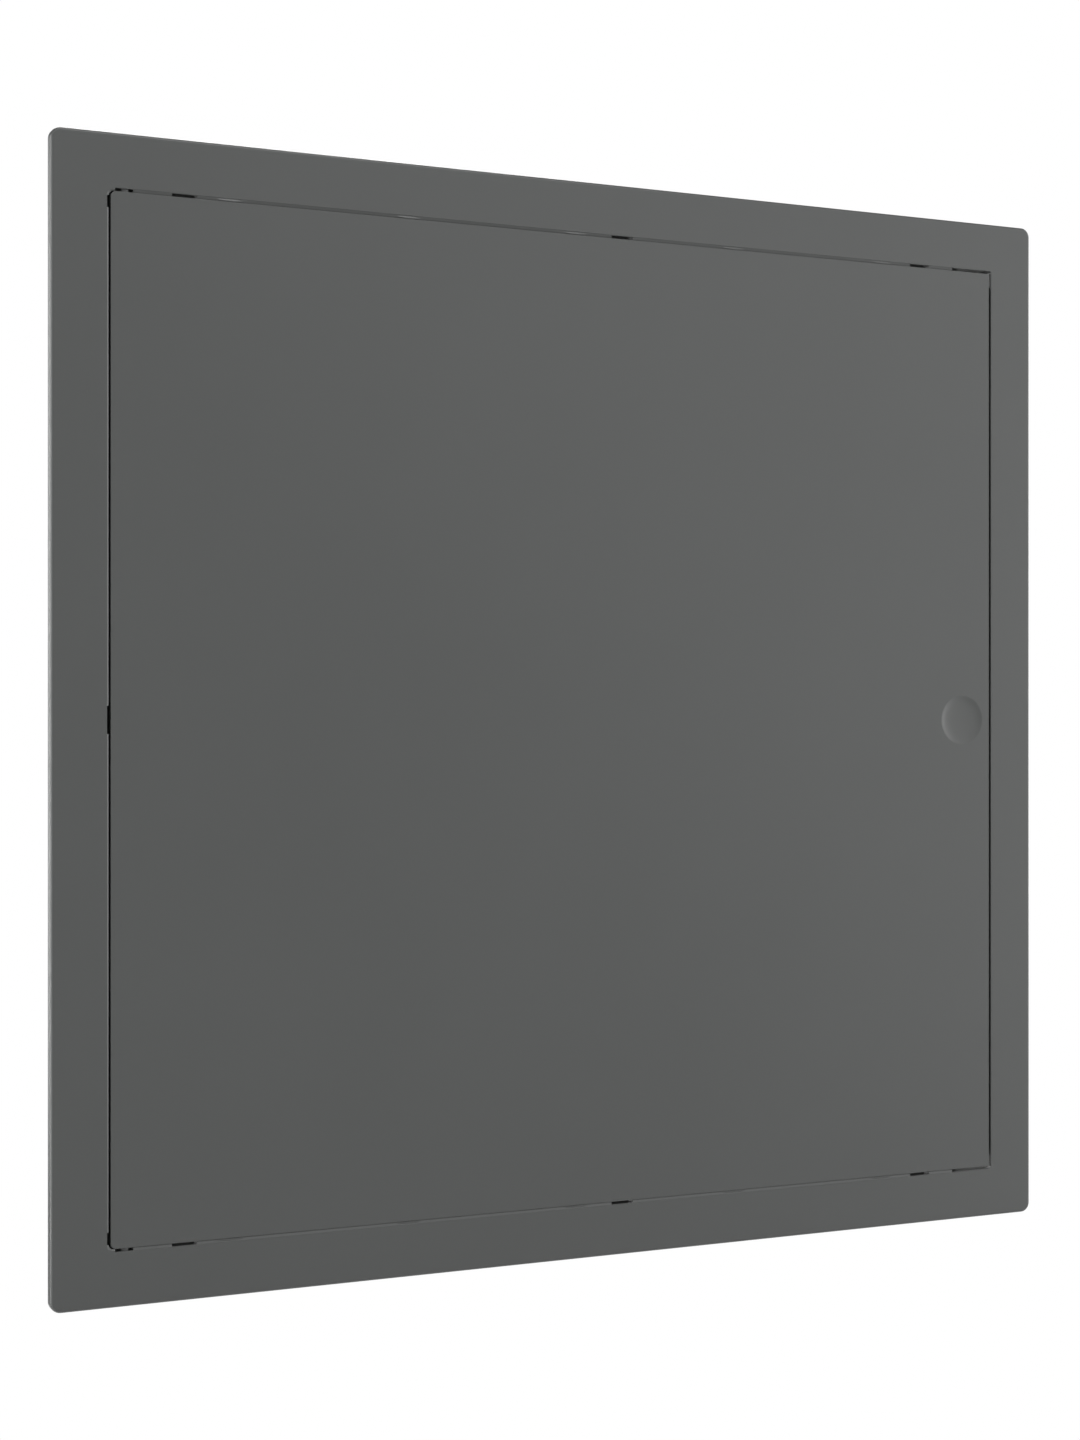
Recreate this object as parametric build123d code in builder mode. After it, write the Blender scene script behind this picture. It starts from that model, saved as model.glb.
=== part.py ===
from build123d import *
import os

os.makedirs("parts", exist_ok=True)

# Millimetres. The wall face is y = 0, the panel's front looks along -y and z is up.

# frame: flange and collar
panel_size = 430.0
flange_width = 20.4
flange_edge = 4.0
flange_skin = 2.4
flange_corner = 4.0
front_round = 1.2
edge_lip = 2.0
collar_wall = 2.4
collar_depth = 22.0
collar_lead = 0.8
hinge_corner = 2.8
latch_corner = 1.0

# stop ledge behind the top and bottom edges of the door
ledge_width = 4.6
ledge_wall = 2.0
ledge_pin_gap = 0.8
ledge_latch_gap = 20.0
slot_length = 9.6
slot_width = 3.0
slot_from_hinge = 19.4
slot_from_latch = 16.6
slot_off_middle = 16.0

# sloped strip in front of the ledge, which fills most of the gap above and below the door
strip_gap = 0.2
strip_step = 0.1
strip_slope = 0.35

# lip on the hinge side of the opening
lip_stand = 1.0
lip_depth = 4.0
lip_end_gap = 7.3
lip_notch = 10.4
bevel_width = 0.6
bevel_depth = 0.3
corner_lip_width = 3.4
corner_lip_height = 2.8
corner_lip_round = 1.9

# return inside the collar, behind the hinge gap
return_width = 6.1
return_wall = 2.0
return_gap = 2.0

# door moulding
reveal = 1.15
hinge_gap = 0.8
seat_gap = 0.2
door_skin = 2.2
hinge_edge_round = 0.3
rim_wall = 1.8
rim_depth = 9.6
rim_corner = 2.2
rim_hinge_inset = 0.8
rim_latch_inset = 2.4
rim_ledge_gap = 0.7
rib_wall = 1.6
rib_depth = 6.0

# finger dish near the free edge
dish_radius = 10.6
dish_rim_width = 1.2
dish_rim_depth = 0.45
dish_depth = 0.95
dish_inset = 14.0
dish_pad = 1.2

# lens-shaped snap beads on the sloped strips
bead_length = 10.3
bead_height = 0.4
bead_off_strip = 0.37
bead_back = 0.42
bead_count = 5
bead_pitch = 71.6
bead_shift = -4.5

# hinge
pin_radius = 2.0
pin_length = 22.0
pin_back = 2.7
pin_inset = 5.6
pin_engage = 3.2
pin_end_play = 0.4
pin_chamfer = 0.3
running_fit = 0.08
seat_fit = 0.02
boss_wall = 1.8
boss_height = 16.0
boss_web = 1.0
pin_seat_wall = 1.4

# places worked out from the sizes above
opening = panel_size - 2 * flange_width
half_open = opening / 2
collar_size = opening + 2 * collar_wall
door_left = -half_open + lip_stand + hinge_gap
door_right = half_open - reveal
door_width = door_right - door_left
door_mid = (door_left + door_right) / 2
half_door = half_open - reveal
pin_x = door_left + pin_inset
pin_y = -flange_edge + pin_back
pin_tip = half_open + pin_engage - pin_end_play
boss_half = pin_radius + boss_wall
door_back_y = -flange_edge + door_skin
ledge_y = door_back_y + seat_gap
return_y = door_back_y + rim_depth + return_gap
strip_z = half_door + strip_gap
bead_y = -flange_edge + bead_back
bead_z = strip_z + bead_off_strip
ledge_start = pin_x + pin_radius + ledge_pin_gap
ledge_end = half_open - ledge_latch_gap
slot_places = (
    ledge_start + slot_from_hinge,
    slot_off_middle,
    ledge_end - slot_from_latch,
)

front = Plane.XZ.offset(flange_edge)
wall = Plane.XZ
skin_back = Plane.XZ.offset(flange_edge - flange_skin)
ledge_front = Plane.XZ.offset(-ledge_y)
door_back = Plane.XZ.offset(-door_back_y)

# outline of one bead, along its own length
with BuildSketch() as bead:
    with BuildLine():
        ThreePointArc((-bead_length / 2, 0), (0, bead_height), (bead_length / 2, 0))
        Line((bead_length / 2, 0), (-bead_length / 2, 0))
    make_face()

# frame: flange, collar, stop ledge, strips and hinge lip in one moulding
with BuildPart() as frame:
    with BuildSketch(front):
        RectangleRounded(panel_size, panel_size, flange_corner)
    extrude(amount=-flange_edge)
    fillet(frame.faces().sort_by(Axis.Y)[0].edges(), front_round)
    # hollow back of the flange, inside the lip that bears on the wall
    with BuildSketch(wall):
        RectangleRounded(
            panel_size - 2 * edge_lip,
            panel_size - 2 * edge_lip,
            flange_corner - edge_lip / 2,
        )
    extrude(amount=flange_edge - flange_skin, mode=Mode.SUBTRACT)
    # collar that goes into the wall opening, with a lead-in at its back
    with BuildSketch(skin_back):
        RectangleRounded(collar_size, collar_size, hinge_corner + collar_wall)
    extrude(amount=-(flange_edge - flange_skin + collar_depth))
    chamfer(frame.faces().sort_by(Axis.Y)[-1].edges(), collar_lead)
    # seats for the hinge pins, outside the collar
    pin_seat = pin_engage + pin_seat_wall
    with BuildSketch(skin_back):
        with GridLocations(0, opening + pin_seat, 1, 2):
            with Locations((pin_x, 0)):
                Rectangle(2 * boss_half + 2 * boss_web, pin_seat)
    extrude(amount=-(pin_back + boss_half - flange_skin))
    # clear opening for the door
    with BuildSketch(front) as gap:
        Rectangle(opening, opening)
        fillet(gap.vertices().group_by(Axis.X)[0], hinge_corner)
        fillet(gap.vertices().group_by(Axis.X)[-1], latch_corner)
    extrude(amount=-(flange_edge + collar_depth), mode=Mode.SUBTRACT)
    # stop ledge along the top and bottom, left out at the pins and the latch corners
    with BuildSketch(ledge_front):
        with GridLocations(0, opening - ledge_width + collar_wall / 2, 1, 2):
            with Locations(((ledge_start + ledge_end) / 2, 0)):
                Rectangle(ledge_end - ledge_start, ledge_width + collar_wall / 2)
    extrude(amount=-ledge_wall)
    for end in (1, -1):
        # strip that slopes back from the flange towards the door's edge
        with BuildSketch(Plane.YZ.offset(ledge_start)):
            with BuildLine():
                Polyline(
                    (-flange_edge + strip_step, end * half_open),
                    (-flange_edge + strip_step + strip_slope, end * strip_z),
                    (ledge_y, end * strip_z),
                    (ledge_y, end * (half_open + collar_wall / 2)),
                    (-flange_edge + strip_step, end * (half_open + collar_wall / 2)),
                    close=True,
                )
            make_face()
        extrude(amount=ledge_end - ledge_start)
        # snap beads on the strip
        strip_line = Axis((0, bead_y, end * bead_z), (1, 0, 0))
        with BuildSketch(Plane(strip_line.position, x_dir=(1, 0, 0), z_dir=(0, -1, 0))):
            with GridLocations(bead_pitch, 0, bead_count, 1):
                with Locations((bead_shift, 0)):
                    add(bead.sketch)
        revolve(axis=strip_line)
    # slots through the strip and the ledge
    with BuildSketch(front):
        with GridLocations(0, opening - slot_width, 1, 2):
            with Locations(*[(x, 0) for x in slot_places]):
                Rectangle(slot_length, slot_width)
    extrude(amount=-(flange_edge + ledge_y + ledge_wall), mode=Mode.SUBTRACT)
    # lip on the hinge side, notched at mid-height, with a bevel along its front
    lip_length = opening - 2 * lip_end_gap
    lip_edge = -half_open + lip_stand
    with BuildSketch(Plane.XY.offset(-lip_length / 2)):
        with BuildLine():
            Polyline(
                (-half_open - collar_wall / 2, -flange_edge),
                (lip_edge - bevel_width, -flange_edge),
                (lip_edge, -flange_edge + bevel_depth),
                (lip_edge, -flange_edge + lip_depth),
                (-half_open - collar_wall / 2, -flange_edge + lip_depth),
                close=True,
            )
        make_face()
    extrude(amount=lip_length)
    with BuildSketch(front):
        with Locations((-half_open + lip_stand / 2, 0)):
            Rectangle(lip_stand, lip_notch)
    extrude(amount=-lip_depth, mode=Mode.SUBTRACT)
    # the same lip round the two hinge corners
    inner = 2 * corner_lip_width + 2 * corner_lip_height
    with BuildSketch(front):
        with GridLocations(0, opening - corner_lip_height, 1, 2):
            with Locations((-half_open + corner_lip_width / 2, 0)):
                Rectangle(corner_lip_width, corner_lip_height)
        with GridLocations(0, 2 * strip_z - inner, 1, 2):
            with Locations((lip_edge + inner / 2, 0)):
                RectangleRounded(inner, inner, corner_lip_round, mode=Mode.SUBTRACT)
    extrude(amount=-lip_depth)
    # return inside the collar on the hinge side, which closes the gap behind the door's rim
    return_root = collar_wall / 4
    with BuildSketch(Plane.XZ.offset(-return_y)):
        with Locations((-half_open + (return_width - return_root) / 2, 0)):
            Rectangle(return_width + return_root, opening + 2 * return_root)
    extrude(amount=-return_wall)
    # holes for the hinge pins
    with BuildSketch(Plane.XY.offset(-half_open - pin_engage)):
        with Locations((pin_x, pin_y)):
            Circle(pin_radius + running_fit)
    extrude(amount=opening + 2 * pin_engage, mode=Mode.SUBTRACT)
frame.part.label = "frame"
export_step(frame.part, "parts/frame.step")

# door: flat face with a rim and ribs on its back
rim_left = door_left + rim_hinge_inset
rim_right = door_right - rim_latch_inset
rim_width = rim_right - rim_left
rim_mid = (rim_left + rim_right) / 2
rim_height = opening - 2 * ledge_width - 2 * rim_ledge_gap
with BuildPart() as door:
    with BuildSketch(front) as face:
        with Locations((door_mid, 0)):
            Rectangle(door_width, 2 * half_door)
        fillet(face.vertices().group_by(Axis.X)[0], hinge_corner - hinge_gap)
        fillet(face.vertices().group_by(Axis.X)[-1], latch_corner / 2)
    extrude(amount=-door_skin)
    front_edges = door.faces().sort_by(Axis.Y)[0].edges()
    fillet(front_edges.sort_by(Axis.X)[0], hinge_edge_round)
    # rim all round the back
    with BuildSketch(door_back):
        with Locations((rim_mid, 0)):
            RectangleRounded(rim_width, rim_height, rim_corner)
            RectangleRounded(
                rim_width - 2 * rim_wall,
                rim_height - 2 * rim_wall,
                rim_corner - rim_wall,
                mode=Mode.SUBTRACT,
            )
    extrude(amount=-rim_depth)
    # crossed stiffening ribs
    with BuildSketch(door_back):
        with Locations((rim_mid, 0)):
            with GridLocations(rim_width / 3, 0, 2, 1):
                Rectangle(rib_wall, rim_height - rim_wall)
            with GridLocations(0, rim_height / 3, 1, 2):
                Rectangle(rim_width - rim_wall, rib_wall)
    extrude(amount=-rib_depth)
    # hinge bosses that hold the pins, in the corners of the rim
    boss_width = pin_x + boss_half - rim_left
    for end in (1, -1):
        with BuildSketch(door_back):
            with Locations((rim_mid, 0)):
                RectangleRounded(rim_width, rim_height, rim_corner)
            with Locations((rim_left + boss_width / 2, end * (rim_height - boss_height) / 2)):
                Rectangle(boss_width, boss_height, mode=Mode.INTERSECT)
        extrude(amount=-(pin_y + boss_half - door_back_y))
    # pad behind the finger dish
    with BuildSketch(door_back):
        with Locations((door_right - dish_inset, 0)):
            Circle(dish_radius + dish_rim_width)
    extrude(amount=-dish_pad)
    # finger dish: a shallow bowl inside a steeper rim
    dish_floor = dish_radius - dish_rim_width
    dish_axis = Axis((door_right - dish_inset, -flange_edge, 0), (0, 1, 0))
    with BuildSketch(Plane(dish_axis.position, x_dir=(1, 0, 0), z_dir=(0, 0, 1))):
        with BuildLine():
            bowl = TangentArc((0, dish_depth), (dish_floor, dish_rim_depth), tangent=(1, 0))
            Line(bowl @ 1, (dish_radius, 0))
            Line((dish_radius, 0), (0, 0))
            Line((0, 0), (0, dish_depth))
        make_face()
    revolve(axis=dish_axis, mode=Mode.SUBTRACT)
    # holes for the hinge pins
    for end in (1, -1):
        with BuildSketch(Plane.XY.offset(end * pin_tip)):
            with Locations((pin_x, pin_y)):
                Circle(pin_radius + seat_fit)
        extrude(amount=-end * pin_length, mode=Mode.SUBTRACT)
door.part.label = "door"
export_step(door.part, "parts/door.step")

# hinge pins, pushed into the door and turning in the frame
with BuildPart() as upper_hinge_pin:
    with BuildSketch(Plane.XY.offset(pin_tip)):
        with Locations((pin_x, pin_y)):
            Circle(pin_radius)
    extrude(amount=-pin_length)
    chamfer(upper_hinge_pin.edges().filter_by(GeomType.CIRCLE), pin_chamfer)
upper_hinge_pin.part.label = "upper_hinge_pin"
export_step(upper_hinge_pin.part, "parts/upper_hinge_pin.step")

with BuildPart() as lower_hinge_pin:
    with BuildSketch(Plane.XY.offset(-pin_tip)):
        with Locations((pin_x, pin_y)):
            Circle(pin_radius)
    extrude(amount=pin_length)
    chamfer(lower_hinge_pin.edges().filter_by(GeomType.CIRCLE), pin_chamfer)
lower_hinge_pin.part.label = "lower_hinge_pin"
export_step(lower_hinge_pin.part, "parts/lower_hinge_pin.step")
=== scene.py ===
import math

import bpy
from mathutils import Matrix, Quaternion, Vector


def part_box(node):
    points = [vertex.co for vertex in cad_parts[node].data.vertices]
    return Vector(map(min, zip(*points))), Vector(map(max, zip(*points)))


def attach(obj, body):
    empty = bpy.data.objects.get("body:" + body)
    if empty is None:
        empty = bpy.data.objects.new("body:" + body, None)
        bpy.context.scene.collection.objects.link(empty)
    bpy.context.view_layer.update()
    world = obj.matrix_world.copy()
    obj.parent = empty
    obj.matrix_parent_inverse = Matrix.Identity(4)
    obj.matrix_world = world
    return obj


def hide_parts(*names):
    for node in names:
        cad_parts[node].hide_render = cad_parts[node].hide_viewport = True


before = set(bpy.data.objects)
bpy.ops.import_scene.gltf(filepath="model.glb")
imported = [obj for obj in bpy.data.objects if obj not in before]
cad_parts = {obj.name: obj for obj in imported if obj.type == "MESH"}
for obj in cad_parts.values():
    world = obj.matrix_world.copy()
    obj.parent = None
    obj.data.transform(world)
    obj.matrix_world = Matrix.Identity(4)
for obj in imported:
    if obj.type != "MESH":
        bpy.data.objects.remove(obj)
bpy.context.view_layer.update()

MM = 0.001

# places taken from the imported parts, in metres
frame_low, frame_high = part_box("frame")
door_low, door_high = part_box("door")
pin_low, pin_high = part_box("upper_hinge_pin")
FRONT = frame_low[1]
WALL = 0.0
COLLAR_END = frame_high[1]
PANEL_HALF = frame_high[0]
DOOR_LEFT = door_low[0]
DOOR_RIGHT = door_high[0]
DOOR_BACK_END = door_high[1]
PIN_X = (pin_low[0] + pin_high[0]) / 2
PIN_Y = (pin_low[1] + pin_high[1]) / 2
PIN_RADIUS = (pin_high[0] - pin_low[0]) / 2
PIN_TIP = pin_high[2]
PIN_LENGTH = pin_high[2] - pin_low[2]

# frame moulding
FLANGE_WIDTH = 20.4 * MM
FLANGE_SKIN = 2.4 * MM
FLANGE_CORNER = 4.0 * MM
FRONT_ROUND = 1.2 * MM
EDGE_LIP = 2.0 * MM
COLLAR_WALL = 2.4 * MM
COLLAR_LEAD = 0.8 * MM
HINGE_CORNER = 2.8 * MM
LATCH_CORNER = 1.0 * MM
OPEN_HALF = PANEL_HALF - FLANGE_WIDTH
REVEAL = 1.15 * MM
DOOR_HALF = OPEN_HALF - REVEAL

# stop ledge, sloped strip and slots
LEDGE_WIDTH = 4.6 * MM
LEDGE_WALL = 2.0 * MM
LEDGE_PIN_GAP = 0.8 * MM
LEDGE_LATCH_GAP = 20.0 * MM
LEDGE_START = PIN_X + PIN_RADIUS + LEDGE_PIN_GAP
LEDGE_END = OPEN_HALF - LEDGE_LATCH_GAP
STRIP_GAP = 0.08 * MM
STRIP_EDGE = DOOR_HALF + STRIP_GAP
STRIP_STEP = 0.08 * MM
STRIP_SLOPE = 0.42 * MM
SLOT_LENGTH = 9.6 * MM
SLOT_WIDTH = 3.0 * MM
SLOT_FROM_HINGE = 19.4 * MM
SLOT_OFF_MIDDLE = 16.0 * MM
SLOT_FROM_LATCH = 16.6 * MM
SLOT_PLACES = (LEDGE_START + SLOT_FROM_HINGE, SLOT_OFF_MIDDLE, LEDGE_END - SLOT_FROM_LATCH)

# snap beads on the strips
BEAD_LENGTH = 10.3 * MM
BEAD_HEIGHT = 0.55 * MM
BEAD_FLATNESS = 0.22
BEAD_TILT = math.radians(17)
BEAD_BACK = 0.21 * MM
BEAD_OFF_DOOR = 0.67 * MM
BEAD_Y = FRONT + BEAD_BACK
BEAD_Z = DOOR_HALF + BEAD_OFF_DOOR
BEAD_COUNT = 5
BEAD_PITCH = 71.6 * MM
BEAD_SHIFT = -4.5 * MM
BEAD_PLACES = [BEAD_SHIFT + (i - BEAD_COUNT // 2) * BEAD_PITCH for i in range(BEAD_COUNT)]

# return inside the collar on the hinge side
RETURN_WIDTH = 6.1 * MM
RETURN_WALL = 2.0 * MM
RETURN_GAP = 2.0 * MM
RETURN_FRONT = DOOR_BACK_END + RETURN_GAP

# lip on the hinge side and round its corners
LIP_STAND = 1.0 * MM
LIP_EDGE = -OPEN_HALF + LIP_STAND
LIP_DEPTH = 4.0 * MM
LIP_END_GAP = 7.3 * MM
LIP_END = OPEN_HALF - LIP_END_GAP
LIP_NOTCH = 10.4 * MM
BREAK_DEPTH = 0.6 * MM
BEVEL_WIDTH = 0.6 * MM
BEVEL_DEPTH = 0.3 * MM
CORNER_LIP_WIDTH = 3.4 * MM
CORNER_LIP_HEIGHT = 2.8 * MM
CORNER_LIP_RIGHT = -OPEN_HALF + CORNER_LIP_WIDTH
CORNER_LIP_LOW = OPEN_HALF - CORNER_LIP_HEIGHT
CORNER_LIP_ROUND = 1.9 * MM

# door moulding
SEAT_GAP = 0.2 * MM
DOOR_SKIN = 2.2 * MM
DOOR_BACK = FRONT + DOOR_SKIN
DOOR_CORNER_HINGE = 2.0 * MM
DOOR_CORNER_LATCH = 0.5 * MM
RIM_WALL = 1.8 * MM
RIM_CORNER = 2.2 * MM
RIM_HINGE_INSET = 0.8 * MM
RIM_LATCH_INSET = 2.4 * MM
RIM_LEDGE_GAP = 0.7 * MM
RIM_LEFT = DOOR_LEFT + RIM_HINGE_INSET
RIM_RIGHT = DOOR_RIGHT - RIM_LATCH_INSET
RIM_HALF = OPEN_HALF - LEDGE_WIDTH - RIM_LEDGE_GAP
BAY_WIDTH = (RIM_RIGHT - RIM_LEFT) / 3
RIB_WALL = 1.6 * MM
RIB_DEPTH = 6.0 * MM

# hinge bosses, pin seats and pins
BOSS_WALL = 1.8 * MM
BOSS_HEIGHT = 16.0 * MM
PIN_SEAT = 4.6 * MM
PIN_SEAT_WEB = 1.0 * MM
PIN_FIT = 0.08 * MM
PIN_CHAMFER = 0.3 * MM

# finger dish
DISH_RADIUS = 10.6 * MM
DISH_INSET = 14.0 * MM
DISH_X = DOOR_RIGHT - DISH_INSET
DISH_BOWL_SLOPE = 0.08
DISH_RIM_SLOPE = 0.12
DISH_RIM_WIDTH = 1.0 * MM
DISH_FLARE = 0.3 * MM
DISH_PAD = 1.2 * MM
DISH_PAD_MARGIN = 1.2 * MM

# how finely round forms are made
CORNER_SEGMENTS = 8
EDGE_SEGMENTS = 6
BEAD_STEPS = 24
BEAD_TURN = 32
BORE_TURN = 48
PIN_TURN = 64
PAD_TURN = 96
DISH_TURN = 128
DISH_RINGS = 32
DISH_SPACING = 1.7    # above 1, the rings crowd towards the edge of the dish

# shared modelling values
SMOOTH_ANGLE = math.radians(18)
SOFT_EDGE = 0.2 * MM
PAST = 2.0 * MM         # how far a cutter runs past the surface
ROOT = 0.6 * MM         # how far a joined form sinks into what carries it
BITE = 0.05 * MM        # a small overlap between neighbours
SAME = 0.01 * MM        # two places closer than this are the same
WELD = 0.001 * MM       # points closer than this are merged
FORWARD = -0.9          # a face looks forward if the Y of its normal is below this


# Modelling

def make_active(piece):
    """Selects one piece and nothing else."""
    bpy.ops.object.select_all(action="DESELECT")
    piece.select_set(True)
    bpy.context.view_layer.objects.active = piece


def block(name, low, high):
    """A box between two corners."""
    bpy.ops.object.select_all(action="DESELECT")
    middle = [(a + b) / 2 for a, b in zip(low, high)]
    bpy.ops.mesh.primitive_cube_add(size=1, location=middle)
    piece = bpy.context.object
    piece.name = name
    piece.scale = [b - a for a, b in zip(low, high)]
    bpy.ops.object.transform_apply(location=True, rotation=True, scale=True)
    return piece


def turned(name, profile, centre, axis, out, steps):
    """A solid of revolution: the profile's points are (distance along the axis, radius)."""
    bpy.ops.object.select_all(action="DESELECT")
    bpy.ops.mesh.primitive_plane_add(size=MM)
    piece = bpy.context.object
    piece.name = name
    centre, axis, out = Vector(centre), Vector(axis), Vector(out)
    points = [centre + axis * along + out * radius for along, radius in profile]
    bpy.ops.object.mode_set(mode="EDIT")
    bpy.ops.mesh.select_mode(type="VERT")
    bpy.ops.mesh.merge(type="CENTER")
    bpy.ops.transform.translate(value=points[0])
    for start, end in zip(points, points[1:]):
        bpy.ops.mesh.extrude_vertices_move(TRANSFORM_OT_translate={"value": end - start})
    bpy.ops.mesh.select_all(action="SELECT")
    bpy.ops.mesh.spin(steps=steps, angle=2 * math.pi, center=centre, axis=axis)
    bpy.ops.mesh.select_all(action="SELECT")
    bpy.ops.mesh.remove_doubles(threshold=WELD)
    bpy.ops.mesh.normals_make_consistent(inside=False)
    bpy.ops.object.mode_set(mode="OBJECT")
    return piece


def clear_selection(piece, kind):
    """Leaves a piece with nothing selected, ready to select points, edges or faces."""
    make_active(piece)
    bpy.ops.object.mode_set(mode="EDIT")
    bpy.ops.mesh.select_mode(type=kind)
    bpy.ops.mesh.select_all(action="DESELECT")
    bpy.ops.object.mode_set(mode="OBJECT")


def bevel(piece, wanted, width, segments=1):
    """Bevels the edges whose two ends pass the test."""
    clear_selection(piece, "EDGE")
    mesh = piece.data
    for edge in mesh.edges:
        first, last = (mesh.vertices[i].co for i in edge.vertices)
        edge.select = wanted(first, last)
    bpy.ops.object.mode_set(mode="EDIT")
    bpy.ops.mesh.bevel(offset=width, segments=segments, affect="EDGES")
    bpy.ops.object.mode_set(mode="OBJECT")


def shift_points(piece, wanted, step):
    """Moves the points that pass the test."""
    clear_selection(piece, "VERT")
    for vertex in piece.data.vertices:
        vertex.select = wanted(vertex.co)
    bpy.ops.object.mode_set(mode="EDIT")
    bpy.ops.transform.translate(value=step)
    bpy.ops.object.mode_set(mode="OBJECT")


def flare_front(piece, depth, growth, still):
    """Draws the front face of a cutter forward by a depth while it widens, then straight on.

    growth is the scale along X, Y and Z and still is the point that stays in place."""
    clear_selection(piece, "FACE")
    for face in piece.data.polygons:
        face.select = face.normal.y < FORWARD
    bpy.ops.object.mode_set(mode="EDIT")
    bpy.ops.mesh.extrude_region_move(TRANSFORM_OT_translate={"value": (0, -depth, 0)})
    bpy.ops.transform.resize(value=growth, center_override=still)
    bpy.ops.mesh.extrude_region_move(TRANSFORM_OT_translate={"value": (0, -PAST, 0)})
    bpy.ops.object.mode_set(mode="OBJECT")


def discard(piece):
    """Deletes a piece that has been used up."""
    mesh = piece.data
    bpy.data.objects.remove(piece)
    bpy.data.meshes.remove(mesh)


def combine(piece, other, operation):
    """Cuts another solid out of a piece, or joins it on, and uses the other one up."""
    make_active(piece)
    modifier = piece.modifiers.new(operation.title(), "BOOLEAN")
    modifier.operation = operation
    modifier.solver = "EXACT"
    modifier.object = other
    bpy.ops.object.modifier_apply(modifier=modifier.name)
    discard(other)


def cut(piece, *others):
    for other in others:
        combine(piece, other, "DIFFERENCE")


def join(piece, *others):
    for other in others:
        combine(piece, other, "UNION")


def copied(piece):
    """A copy of a piece, with a mesh of its own."""
    make_active(piece)
    bpy.ops.object.duplicate()
    return bpy.context.object


def moved(piece, step):
    """A copy of a piece at another place."""
    other = copied(piece)
    bpy.ops.transform.translate(value=step)
    bpy.ops.object.transform_apply(location=True, rotation=True, scale=True)
    return other


def mirrored(piece):
    """A copy of an upper piece, turned over for the same place below."""
    other = copied(piece)
    bpy.ops.object.mode_set(mode="EDIT")
    bpy.ops.mesh.select_all(action="SELECT")
    bpy.ops.transform.resize(value=(1, 1, -1), center_override=(0, 0, 0))
    bpy.ops.mesh.normals_make_consistent(inside=False)
    bpy.ops.object.mode_set(mode="OBJECT")
    return other


def row(piece, places):
    """Copies of a piece made at x = 0, at several places along X; the first one is used up."""
    copies = [moved(piece, (place, 0, 0)) for place in places]
    discard(piece)
    return copies


def near(a, b):
    return abs(a - b) < SAME


def along_depth(first, last):
    """True for an edge that runs straight from front to back."""
    return near(first.x, last.x) and near(first.z, last.z)


def corner_edges(side):
    """A test for the front-to-back corner edges; side is -1 on the left, 1 on the right."""
    return lambda first, last: along_depth(first, last) and first.x * side > 0


def edges_at_depth(depth):
    """A test for edges that lie in one plane parallel to the wall."""
    return lambda first, last: near(first.y, depth) and near(last.y, depth)


def rounded_block(name, low, high, corner):
    """A box with its four front-to-back edges rounded."""
    piece = block(name, low, high)
    bevel(piece, along_depth, corner, CORNER_SEGMENTS)
    return piece


def finish_piece(piece, body, material, *nodes):
    """Shades a piece, gives it its finish and hands it to the body that carries it."""
    make_active(piece)
    bpy.ops.object.shade_smooth_by_angle(angle=SMOOTH_ANGLE)
    modifier = piece.modifiers.new("Flat faces", "WEIGHTED_NORMAL")
    modifier.keep_sharp = True
    bpy.ops.object.modifier_apply(modifier=modifier.name)
    piece.data.materials.clear()
    piece.data.materials.append(material)
    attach(piece, body)
    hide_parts(*nodes)


# Materials

class Value:
    """A shader socket that can be used in sums."""

    def __init__(self, graph, socket):
        self.graph = graph
        self.socket = socket

    def math(self, operation, first, last):
        return self.graph.node("ShaderNodeMath", {"operation": operation}, {0: first, 1: last})

    def __add__(self, other):
        return self.math("ADD", self, other)

    def __radd__(self, other):
        return self.math("ADD", other, self)

    def __sub__(self, other):
        return self.math("SUBTRACT", self, other)

    def __rsub__(self, other):
        return self.math("SUBTRACT", other, self)

    def __mul__(self, other):
        return self.math("MULTIPLY", self, other)

    def __rmul__(self, other):
        return self.math("MULTIPLY", other, self)

    def larger(self, other):
        return self.math("MAXIMUM", self, other)


class Graph:
    """The nodes of one material or of the world."""

    def __init__(self, tree):
        self.tree = tree
        tree.nodes.clear()

    def node(self, kind, settings=None, inputs=None, output=0):
        """Adds a node, sets it up, fills its sockets and gives back one of its outputs."""
        made = self.tree.nodes.new(kind)
        for name, value in (settings or {}).items():
            setattr(made, name, value)
        for name, value in (inputs or {}).items():
            if isinstance(value, Value):
                self.tree.links.new(value.socket, made.inputs[name])
            else:
                made.inputs[name].default_value = value
        return Value(self, made.outputs[output]) if made.outputs else None


# the colour sockets of a mix node, which share their names with its other sockets
MIX_FIRST = 6
MIX_SECOND = 7
MIX_RESULT = 2


def new_material(name):
    material = bpy.data.materials.new(name)
    material.use_nodes = True
    return material, Graph(material.node_tree)


def noise(graph, place, scale, detail):
    inputs = {"Vector": place, "Scale": scale, "Detail": detail}
    return graph.node("ShaderNodeTexNoise", inputs=inputs, output="Fac")


PLASTIC_DARK = (0.090, 0.094, 0.092, 1)
PLASTIC_LIGHT = (0.098, 0.102, 0.100, 1)
PLASTIC_ROUGHNESS = 0.32
PLASTIC_ROUGHNESS_SPREAD = 0.05
CLOUD_SCALE = 14
CLOUD_DETAIL = 3
CLOUD_MIDDLE = 0.5
GRAIN_SCALE = 2600
GRAIN_DETAIL = 2
GRAIN_HEIGHT = 0.004 * MM
GRAIN_STRENGTH = 0.5


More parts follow.
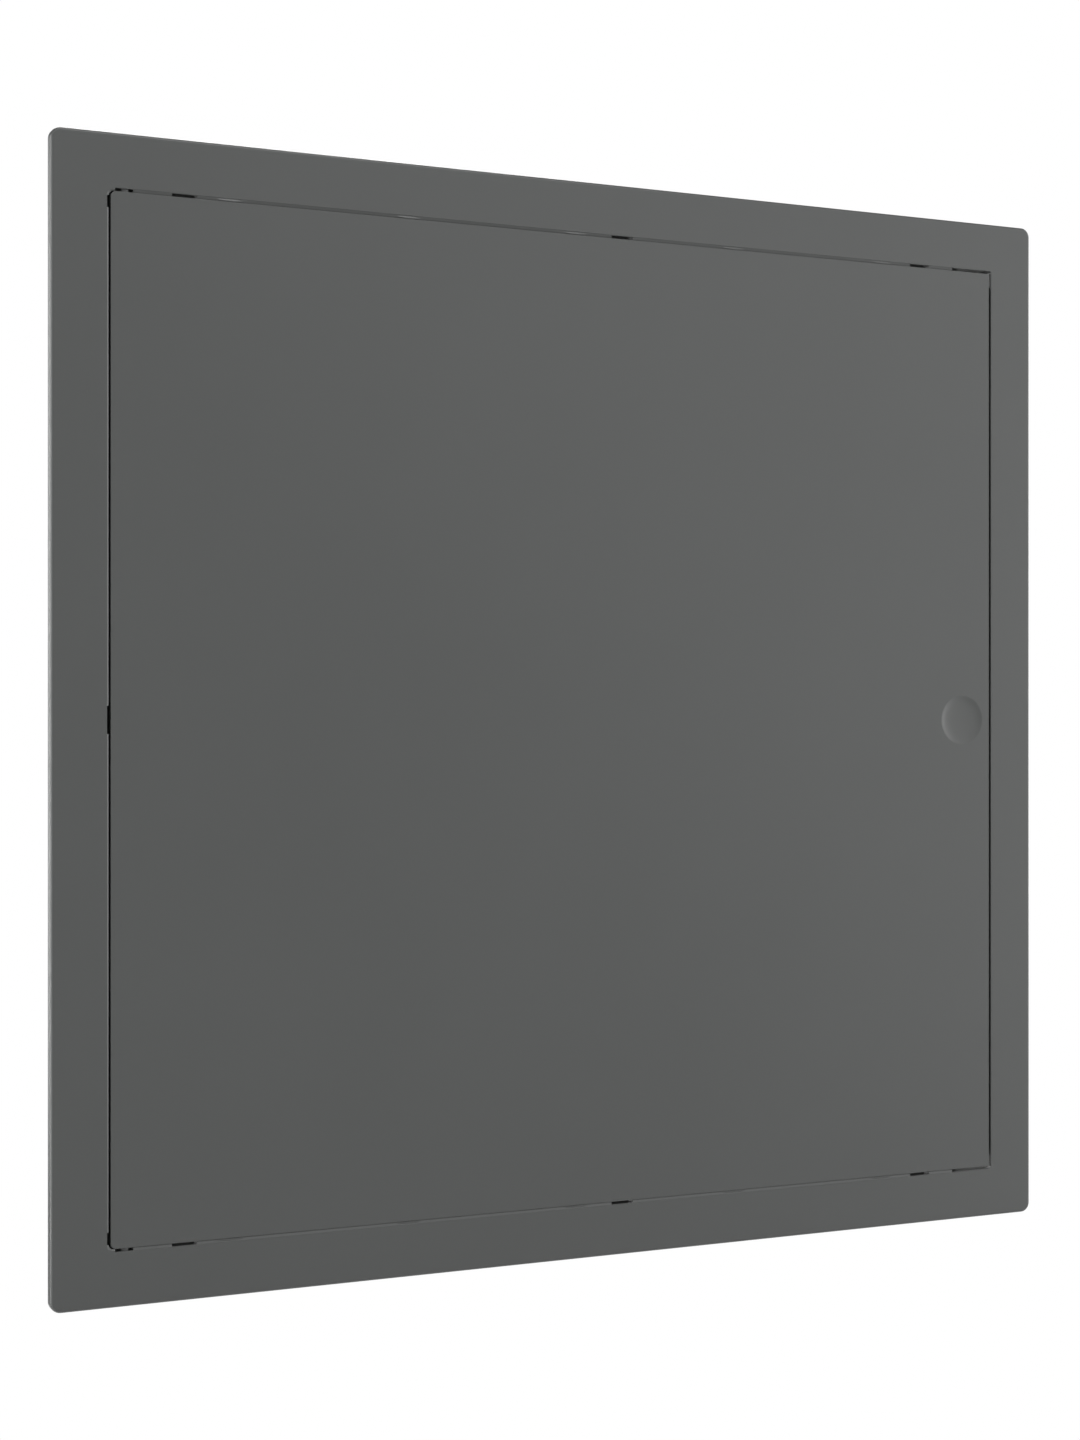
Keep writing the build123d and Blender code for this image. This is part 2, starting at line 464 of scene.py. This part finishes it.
def moulded_plastic(name):
    """Dark grey plastic from a finely sparked mould: faint clouding and a fine grain."""
    material, graph = new_material(name)
    place = graph.node("ShaderNodeTexCoord", output="Object")
    cloud = noise(graph, place, CLOUD_SCALE, CLOUD_DETAIL)
    grain = noise(graph, place, GRAIN_SCALE, GRAIN_DETAIL)
    colour = graph.node(
        "ShaderNodeMix",
        {"data_type": "RGBA"},
        {"Factor": cloud, MIX_FIRST: PLASTIC_DARK, MIX_SECOND: PLASTIC_LIGHT},
        output=MIX_RESULT,
    )
    roughness = PLASTIC_ROUGHNESS + (cloud - CLOUD_MIDDLE) * PLASTIC_ROUGHNESS_SPREAD
    bumped = graph.node(
        "ShaderNodeBump",
        inputs={"Strength": GRAIN_STRENGTH, "Distance": GRAIN_HEIGHT, "Height": grain},
    )
    surface = graph.node(
        "ShaderNodeBsdfPrincipled",
        inputs={"Base Color": colour, "Roughness": roughness, "Normal": bumped},
    )
    graph.node("ShaderNodeOutputMaterial", inputs={"Surface": surface})
    return material


# Frame

def flange():
    """The flat border with its rounded outer edge and hollow back."""
    piece = rounded_block(
        "frame_moulding",
        (-PANEL_HALF, FRONT, -PANEL_HALF),
        (PANEL_HALF, WALL, PANEL_HALF),
        FLANGE_CORNER,
    )
    bevel(piece, edges_at_depth(FRONT), FRONT_ROUND, EDGE_SEGMENTS)
    inside = PANEL_HALF - EDGE_LIP
    hollow = rounded_block(
        "hollow",
        (-inside, FRONT + FLANGE_SKIN, -inside),
        (inside, WALL + PAST, inside),
        FLANGE_CORNER - EDGE_LIP / 2,
    )
    cut(piece, hollow)
    return piece


def collar():
    """The square sleeve behind the flange, before its opening is cut."""
    outside = OPEN_HALF + COLLAR_WALL
    piece = rounded_block(
        "collar",
        (-outside, FRONT + FLANGE_SKIN - ROOT, -outside),
        (outside, COLLAR_END, outside),
        HINGE_CORNER + COLLAR_WALL,
    )
    bevel(piece, edges_at_depth(COLLAR_END), COLLAR_LEAD)
    return piece


def pin_seat():
    """The block outside the top of the collar that takes the upper hinge pin."""
    half = PIN_RADIUS + BOSS_WALL + PIN_SEAT_WEB
    return block(
        "pin_seat",
        (PIN_X - half, FRONT + FLANGE_SKIN - ROOT, OPEN_HALF + ROOT),
        (PIN_X + half, PIN_Y + PIN_RADIUS + BOSS_WALL, OPEN_HALF + PIN_SEAT),
    )


def back_opening():
    """The clear opening behind the lips."""
    piece = block(
        "back_opening",
        (-OPEN_HALF, FRONT + LIP_DEPTH, -OPEN_HALF),
        (OPEN_HALF, COLLAR_END + PAST, OPEN_HALF),
    )
    bevel(piece, corner_edges(-1), HINGE_CORNER, CORNER_SEGMENTS)
    bevel(piece, corner_edges(1), LATCH_CORNER, EDGE_SEGMENTS)
    return piece


def front_opening():
    """The front of the opening, up to the lip round the hinge corners."""
    piece = block(
        "front_opening",
        (CORNER_LIP_RIGHT, FRONT + SOFT_EDGE, -OPEN_HALF),
        (OPEN_HALF, FRONT + LIP_DEPTH + PAST, OPEN_HALF),
    )
    bevel(piece, corner_edges(1), LATCH_CORNER, EDGE_SEGMENTS)
    width = OPEN_HALF - CORNER_LIP_RIGHT
    growth = (1 + SOFT_EDGE / width, 1, 1 + SOFT_EDGE / OPEN_HALF)
    flare_front(piece, SOFT_EDGE, growth, (CORNER_LIP_RIGHT, FRONT, 0))
    return piece


def lip_opening():
    """The part of the opening beside the hinge lip, flared at the front for the lip's bevel."""
    right = CORNER_LIP_RIGHT + BITE
    piece = block(
        "lip_opening",
        (LIP_EDGE, FRONT + BEVEL_DEPTH, -STRIP_EDGE),
        (right, FRONT + LIP_DEPTH + PAST, STRIP_EDGE),
    )
    bevel(
        piece,
        lambda first, last: along_depth(first, last) and near(first.x, LIP_EDGE),
        CORNER_LIP_ROUND,
        CORNER_SEGMENTS,
    )
    growth = (1 + BEVEL_WIDTH / (right - LIP_EDGE), 1, 1 + BEVEL_WIDTH / STRIP_EDGE)
    flare_front(piece, BEVEL_DEPTH, growth, (right, FRONT, 0))
    return piece


def lip_break(low, high):
    """A break in the hinge lip between two heights."""
    return block(
        "lip_break",
        (LIP_EDGE - BREAK_DEPTH, FRONT - PAST, low),
        (LIP_EDGE + BITE, FRONT + LIP_DEPTH + PAST, high),
    )


def bead():
    """One snap bead on the middle of the upper strip: a flattened lens that leans off the door."""
    stations = [2 * i / BEAD_STEPS - 1 for i in range(BEAD_STEPS + 1)]
    profile = [(t * BEAD_LENGTH / 2, BEAD_HEIGHT * (1 - t * t)) for t in stations]
    centre = (0, BEAD_Y, BEAD_Z)
    piece = turned("bead", profile, centre, (1, 0, 0), (0, 0, 1), BEAD_TURN)
    bpy.ops.object.mode_set(mode="EDIT")
    bpy.ops.mesh.select_all(action="SELECT")
    bpy.ops.transform.resize(value=(1, BEAD_FLATNESS, 1), center_override=centre)
    bpy.ops.transform.rotate(value=BEAD_TILT, orient_axis="X", center_override=centre)
    bpy.ops.object.mode_set(mode="OBJECT")
    return piece


def slot():
    """The cutter for one slot, on the middle of the upper ledge."""
    return block(
        "slot",
        (-SLOT_LENGTH / 2, FRONT - PAST, OPEN_HALF - SLOT_WIDTH),
        (SLOT_LENGTH / 2, DOOR_BACK + SEAT_GAP + LEDGE_WALL + PAST, OPEN_HALF + COLLAR_WALL),
    )


def upper_sill():
    """The upper stop ledge, with the sloped strip in front of it, its beads and its slots."""
    seat = DOOR_BACK + SEAT_GAP
    piece = block(
        "sill",
        (LEDGE_START, seat, OPEN_HALF - LEDGE_WIDTH),
        (LEDGE_END, seat + LEDGE_WALL, OPEN_HALF + ROOT),
    )
    strip = block(
        "strip",
        (LEDGE_START, FRONT + STRIP_STEP, STRIP_EDGE),
        (LEDGE_END, seat + ROOT, OPEN_HALF + BITE),
    )
    shift_points(
        strip,
        lambda point: near(point.y, FRONT + STRIP_STEP) and near(point.z, STRIP_EDGE),
        (0, STRIP_SLOPE, 0),
    )
    join(piece, strip)
    join(piece, *row(bead(), BEAD_PLACES))
    cut(piece, *row(slot(), SLOT_PLACES))
    return piece


def hinge_return():
    """The strip inside the collar that closes the gap behind the hinge side of the door."""
    return block(
        "hinge_return",
        (-OPEN_HALF - ROOT, RETURN_FRONT, -OPEN_HALF - ROOT),
        (-OPEN_HALF + RETURN_WIDTH, RETURN_FRONT + RETURN_WALL, OPEN_HALF + ROOT),
    )


def pin_bore(radius):
    """A round cutter on the hinge axis at the top, as long as a pin."""
    profile = [(0, 0), (0, radius), (-PIN_LENGTH, radius), (-PIN_LENGTH, 0)]
    centre = (PIN_X, PIN_Y, PIN_TIP)
    return turned("pin_bore", profile, centre, (0, 0, 1), (1, 0, 0), BORE_TURN)


def make_frame(material):
    """The flange and collar, then the opening, then what stands inside it."""
    piece = flange()
    upper_seat = pin_seat()
    join(piece, collar(), mirrored(upper_seat), upper_seat)
    upper_break = lip_break(LIP_END, CORNER_LIP_LOW)
    cut(
        piece,
        back_opening(),
        front_opening(),
        lip_opening(),
        lip_break(-LIP_NOTCH / 2, LIP_NOTCH / 2),
        mirrored(upper_break),
        upper_break,
    )
    sill = upper_sill()
    join(piece, hinge_return(), mirrored(sill), sill)
    bore = pin_bore(PIN_RADIUS + PIN_FIT)
    cut(piece, mirrored(bore), bore)
    finish_piece(piece, "frame", material, "frame")


# Door

def door_plate():
    """The flat face of the door."""
    piece = block(
        "door_moulding",
        (DOOR_LEFT, FRONT, -DOOR_HALF),
        (DOOR_RIGHT, DOOR_BACK, DOOR_HALF),
    )
    bevel(piece, corner_edges(-1), DOOR_CORNER_HINGE, CORNER_SEGMENTS)
    bevel(piece, corner_edges(1), DOOR_CORNER_LATCH, EDGE_SEGMENTS)
    bevel(piece, edges_at_depth(FRONT), SOFT_EDGE, EDGE_SEGMENTS)
    return piece


def rim():
    """The upright wall round the back of the door."""
    piece = rounded_block(
        "rim",
        (RIM_LEFT, DOOR_BACK - ROOT, -RIM_HALF),
        (RIM_RIGHT, DOOR_BACK_END, RIM_HALF),
        RIM_CORNER,
    )
    inside = rounded_block(
        "rim_inside",
        (RIM_LEFT + RIM_WALL, DOOR_BACK - PAST, -RIM_HALF + RIM_WALL),
        (RIM_RIGHT - RIM_WALL, DOOR_BACK_END + PAST, RIM_HALF - RIM_WALL),
        RIM_CORNER - RIM_WALL,
    )
    cut(piece, inside)
    return piece


def upright_rib():
    """The left one of the two ribs that run up the back of the door."""
    x = RIM_LEFT + BAY_WIDTH
    end = RIM_HALF - RIM_WALL / 2
    return block(
        "upright_rib",
        (x - RIB_WALL / 2, DOOR_BACK - ROOT, -end),
        (x + RIB_WALL / 2, DOOR_BACK + RIB_DEPTH, end),
    )


def level_rib():
    """The upper one of the two ribs that run across the back of the door."""
    z = RIM_HALF / 3
    return block(
        "level_rib",
        (RIM_LEFT + RIM_WALL / 2, DOOR_BACK - ROOT, z - RIB_WALL / 2),
        (RIM_RIGHT - RIM_WALL / 2, DOOR_BACK + RIB_DEPTH, z + RIB_WALL / 2),
    )


def boss():
    """The block in the upper hinge corner of the rim, which holds the pin."""
    inset = RIM_WALL / 2
    return block(
        "boss",
        (RIM_LEFT + inset, DOOR_BACK - ROOT, RIM_HALF - BOSS_HEIGHT),
        (PIN_X + PIN_RADIUS + BOSS_WALL, PIN_Y + PIN_RADIUS + BOSS_WALL, RIM_HALF - inset),
    )


def dish_depth(inward):
    """Depth of the finger dish at a distance in from its edge: a bowl inside a steeper rim."""
    bowl = DISH_BOWL_SLOPE * (inward - inward**2 / (2 * DISH_RADIUS))
    fade = math.exp(-inward / DISH_RIM_WIDTH)
    rim_drop = DISH_RIM_SLOPE * math.e * (DISH_RIM_WIDTH - (inward + DISH_RIM_WIDTH) * fade)
    return bowl + rim_drop


def dish():
    """The cutter for the finger dish, turned about its own axis."""
    inward = [DISH_RADIUS * (i / DISH_RINGS) ** DISH_SPACING for i in range(DISH_RINGS + 1)]
    outside = DISH_RADIUS + DISH_FLARE
    profile = [(dish_depth(u), DISH_RADIUS - u) for u in reversed(inward)]
    profile += [(-DISH_BOWL_SLOPE * DISH_FLARE, outside), (-PAST, outside), (-PAST, 0)]
    return turned("dish", profile, (DISH_X, FRONT, 0), (0, 1, 0), (1, 0, 0), DISH_TURN)


def dish_pad():
    """The thicker round behind the finger dish."""
    radius = DISH_RADIUS + DISH_PAD_MARGIN
    profile = [(-ROOT, 0), (-ROOT, radius), (DISH_PAD, radius), (DISH_PAD, 0)]
    return turned("dish_pad", profile, (DISH_X, DOOR_BACK, 0), (0, 1, 0), (1, 0, 0), PAD_TURN)


def make_door(material):
    """The face with what stands on its back, then the dish and the holes for the pins."""
    piece = door_plate()
    left_rib = upright_rib()
    right_rib = moved(left_rib, (BAY_WIDTH, 0, 0))
    upper_rib = level_rib()
    upper_boss = boss()
    join(piece, rim(), left_rib, right_rib, mirrored(upper_rib), upper_rib, dish_pad())
    join(piece, mirrored(upper_boss), upper_boss)
    bore = pin_bore(PIN_RADIUS)
    cut(piece, dish(), mirrored(bore), bore)
    finish_piece(piece, "door", material, "door")


# Hinge pins

def make_pins(material):
    """A plain pin with chamfered ends at the top, and a copy of it below."""
    profile = [
        (0, 0),
        (0, PIN_RADIUS - PIN_CHAMFER),
        (-PIN_CHAMFER, PIN_RADIUS),
        (PIN_CHAMFER - PIN_LENGTH, PIN_RADIUS),
        (-PIN_LENGTH, PIN_RADIUS - PIN_CHAMFER),
        (-PIN_LENGTH, 0),
    ]
    centre = (PIN_X, PIN_Y, PIN_TIP)
    upper = turned("upper_turned_pin", profile, centre, (0, 0, 1), (1, 0, 0), PIN_TURN)
    lower = mirrored(upper)
    lower.name = "lower_turned_pin"
    finish_piece(upper, "door", material, "upper_hinge_pin")
    finish_piece(lower, "door", material, "lower_hinge_pin")


# Stage

WHITE = (1, 1, 1, 1)
FLOOR_DROP = 0.9
FLOOR_SIZE = 4
FLOOR_COLOUR = (0.8, 0.8, 0.8, 1)
FLOOR_ROUGHNESS = 0.9
FLOOR_SHADE = 0.5       # share of plain white mixed in under the panel
FLOOR_NEAR = 0.6        # from here out to FLOOR_FAR the floor fades to plain white
FLOOR_FAR = 2.0


def make_floor():
    """A pale floor well below the panel, white to the camera away from the panel's shadow."""
    bpy.ops.object.select_all(action="DESELECT")
    bpy.ops.mesh.primitive_plane_add(size=FLOOR_SIZE, location=(0, 0, -FLOOR_DROP))
    floor = bpy.context.object
    floor.name = "floor"
    material, graph = new_material("pale_floor")
    camera = graph.node("ShaderNodeLightPath", output="Is Camera Ray")
    pale = graph.node(
        "ShaderNodeBsdfPrincipled",
        inputs={"Base Color": FLOOR_COLOUR, "Roughness": FLOOR_ROUGHNESS},
    )
    place = graph.node("ShaderNodeTexCoord", output="Object")
    reach = graph.node("ShaderNodeVectorMath", {"operation": "LENGTH"}, {0: place}, "Value")
    far = graph.node(
        "ShaderNodeMapRange",
        inputs={"Value": reach, "From Min": FLOOR_NEAR, "From Max": FLOOR_FAR},
    )
    glow = graph.node("ShaderNodeEmission", inputs={"Color": WHITE, "Strength": 1})
    share = camera * (FLOOR_SHADE + far * (1 - FLOOR_SHADE))
    mixed = graph.node("ShaderNodeMixShader", inputs={0: share, 1: pale, 2: glow})
    graph.node("ShaderNodeOutputMaterial", inputs={"Surface": mixed})
    floor.data.materials.append(material)


WORLD_FRONT = 0.08
WORLD_BACK = 0.01
FRONT_WHOLE = -0.2      # directions with a lower Y than this are wholly in front of the panel
FRONT_ENDS = 0.1


def make_world():
    """White to the camera, and to reflections from the front; a low light from the front half.

    Behind the panel it is dark, as in a wall, so that the slots stay black."""
    world = bpy.data.worlds.new("studio")
    bpy.context.scene.world = world
    world.use_nodes = True
    graph = Graph(world.node_tree)
    kinds = ("Is Camera Ray", "Is Glossy Ray", "Is Transmission Ray")
    camera, glossy, through = (graph.node("ShaderNodeLightPath", output=kind) for kind in kinds)
    direction = graph.node("ShaderNodeTexCoord", output="Generated")
    depth = graph.node("ShaderNodeSeparateXYZ", inputs={0: direction}, output="Y")
    front = graph.node(
        "ShaderNodeMapRange",
        inputs={
            "Value": depth,
            "From Min": FRONT_WHOLE,
            "From Max": FRONT_ENDS,
            "To Min": 1,
            "To Max": 0,
        },
    )
    room = WORLD_BACK + front * (WORLD_FRONT - WORLD_BACK)
    white = camera.larger(front * glossy.larger(through))
    background = graph.node(
        "ShaderNodeBackground", inputs={"Color": WHITE, "Strength": room + white * (1 - room)}
    )
    graph.node("ShaderNodeOutputWorld", inputs={"Surface": background})


MIDDLE = (0, 0, 0)


def lamp(name, place, size, radiance, target=MIDDLE, roll=0.0):
    """A soft rectangular lamp aimed at a point; radiance is how bright its face looks."""
    data = bpy.data.lights.new(name, "AREA")
    data.shape = "RECTANGLE"
    data.size, data.size_y = size
    data.energy = radiance * math.pi * size[0] * size[1]
    light = bpy.data.objects.new(name, data)
    bpy.context.collection.objects.link(light)
    light.location = place
    aim = Vector(target) - Vector(place)
    turn = aim.to_track_quat("-Z", "Y") @ Quaternion((0, 0, 1), math.radians(roll))
    light.rotation_euler = turn.to_euler()


def make_lamps():
    """Large soft boxes in front, a strip level with the left edge, and three boxes behind."""
    lamp("right_key", place=(2.3, -1.0, 0.5), size=(1.2, 2.6), radiance=2.4)
    # its slanted edge makes the soft diagonal across the door
    lamp(
        "right_corner_box",
        place=(1.23, -1.5, 0.395),
        size=(1.2, 2.6),
        radiance=0.5,
        target=(1.23, 0, 0.395),
        roll=39.5,
    )
    lamp("top_box", place=(0.45, -2.5, 3.05), size=(2.5, 1.4), radiance=4.1)
    lamp("left_strip", place=(-1.75, 0.15, 0.1), size=(0.35, 1.4), radiance=16.0)
    lamp("left_fill", place=(-1.9, -0.9, 0.1), size=(1.0, 1.6), radiance=1.4)
    lamp("back_left", place=(-1.25, 1.9, 0.1), size=(0.6, 1.2), radiance=6.0)
    lamp("back_right", place=(1.9, 1.1, 0.15), size=(0.8, 0.8), radiance=5.0)
    lamp("back_top", place=(0.4, 2.1, 1.9), size=(1.4, 1.0), radiance=10.0)


LENS = 58.5
SENSOR_WIDTH = 36
CAMERA_LEFT = 0.4046
CAMERA_BEFORE_FACE = 0.8429
CAMERA_PLACE = (-CAMERA_LEFT, FRONT - CAMERA_BEFORE_FACE, 0)
CAMERA_DIRECTION = (0.41465, 0.90998, 0)


def make_camera():
    data = bpy.data.cameras.new("camera")
    data.lens = LENS
    data.sensor_width = SENSOR_WIDTH
    camera = bpy.data.objects.new("camera", data)
    bpy.context.collection.objects.link(camera)
    camera.location = CAMERA_PLACE
    camera.rotation_euler = Vector(CAMERA_DIRECTION).to_track_quat("-Z", "Y").to_euler()
    bpy.context.scene.camera = camera


plastic = moulded_plastic("grey_plastic")
make_frame(plastic)
make_door(plastic)
make_pins(plastic)
make_floor()
make_world()
make_lamps()
make_camera()
bpy.context.scene.view_settings.view_transform = "Standard"
